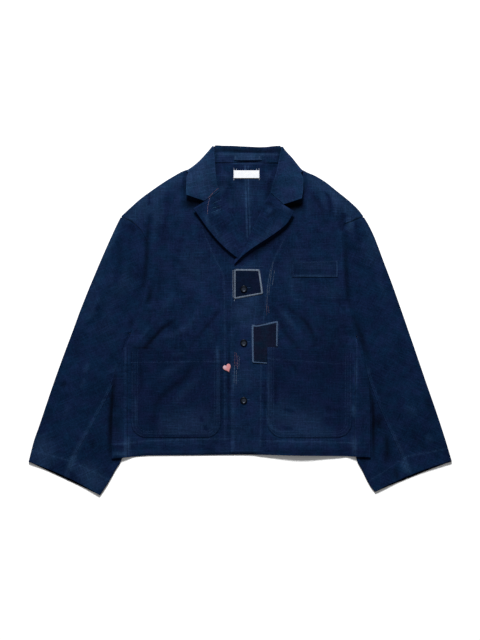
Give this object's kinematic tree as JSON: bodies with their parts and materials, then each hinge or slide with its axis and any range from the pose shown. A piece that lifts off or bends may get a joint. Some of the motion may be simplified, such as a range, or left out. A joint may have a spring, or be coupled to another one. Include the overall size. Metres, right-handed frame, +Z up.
{
  "type": "patched boro jacket",
  "caption": "Short indigo work jacket laid flat, with notched lapels, patch pockets, stitched mending patches and round buttons.",
  "frame": {"origin": "on the surface the jacket lies on, under the middle of its bounding box", "axes": "+X to the side of the right-hand sleeve as seen from above, along the longest extent; +Y to the collar; +Z up from the surface, through the thickness"},
  "size_m": [0.9845, 0.8131, 0.0111],
  "materials": {
    "body_cloth": "slubby indigo plain weave, washed, matt",
    "sleeve_cloth": "slubby indigo plain weave, darker, matt",
    "collar_cloth": "slubby indigo plain weave, a little paler from wear",
    "pocket_cloth": "dark indigo plain weave, matt",
    "patch_cloth": "near-black indigo cloth with pale running stitches round it",
    "patch_red_cloth": "dark maroon navy cloth with pale blue stitches round it",
    "heart_cloth": "coral pink cloth, rubbed pale on one side",
    "label_cloth": "white woven tape, blank",
    "button_plastic": "dark brown moulded plastic, low gloss",
    "thread": "cotton sewing thread, pale blue to off-white"
  },
  "bodies": {
    "root": {"back_left": "body_cloth", "back_right": "body_cloth", "front_left": "body_cloth", "front_right": "body_cloth", "sleeve_top_left": "sleeve_cloth", "sleeve_top_right": "sleeve_cloth", "sleeve_under_left": "sleeve_cloth", "sleeve_under_right": "sleeve_cloth", "lapel_left": "body_cloth", "lapel_right": "body_cloth", "collar_fall": "collar_cloth", "collar_stand": "collar_cloth", "hip_pocket_left": "pocket_cloth", "hip_pocket_right": "pocket_cloth", "chest_welt": "pocket_cloth", "patch_upper": "patch_cloth", "patch_lower": "patch_red_cloth", "heart_patch": "heart_cloth", "neck_label": "label_cloth", "hanger_loop": "collar_cloth", "button_top": "button_plastic", "button_middle": "button_plastic", "button_low": "button_plastic"}
  },
  "joints": []
}
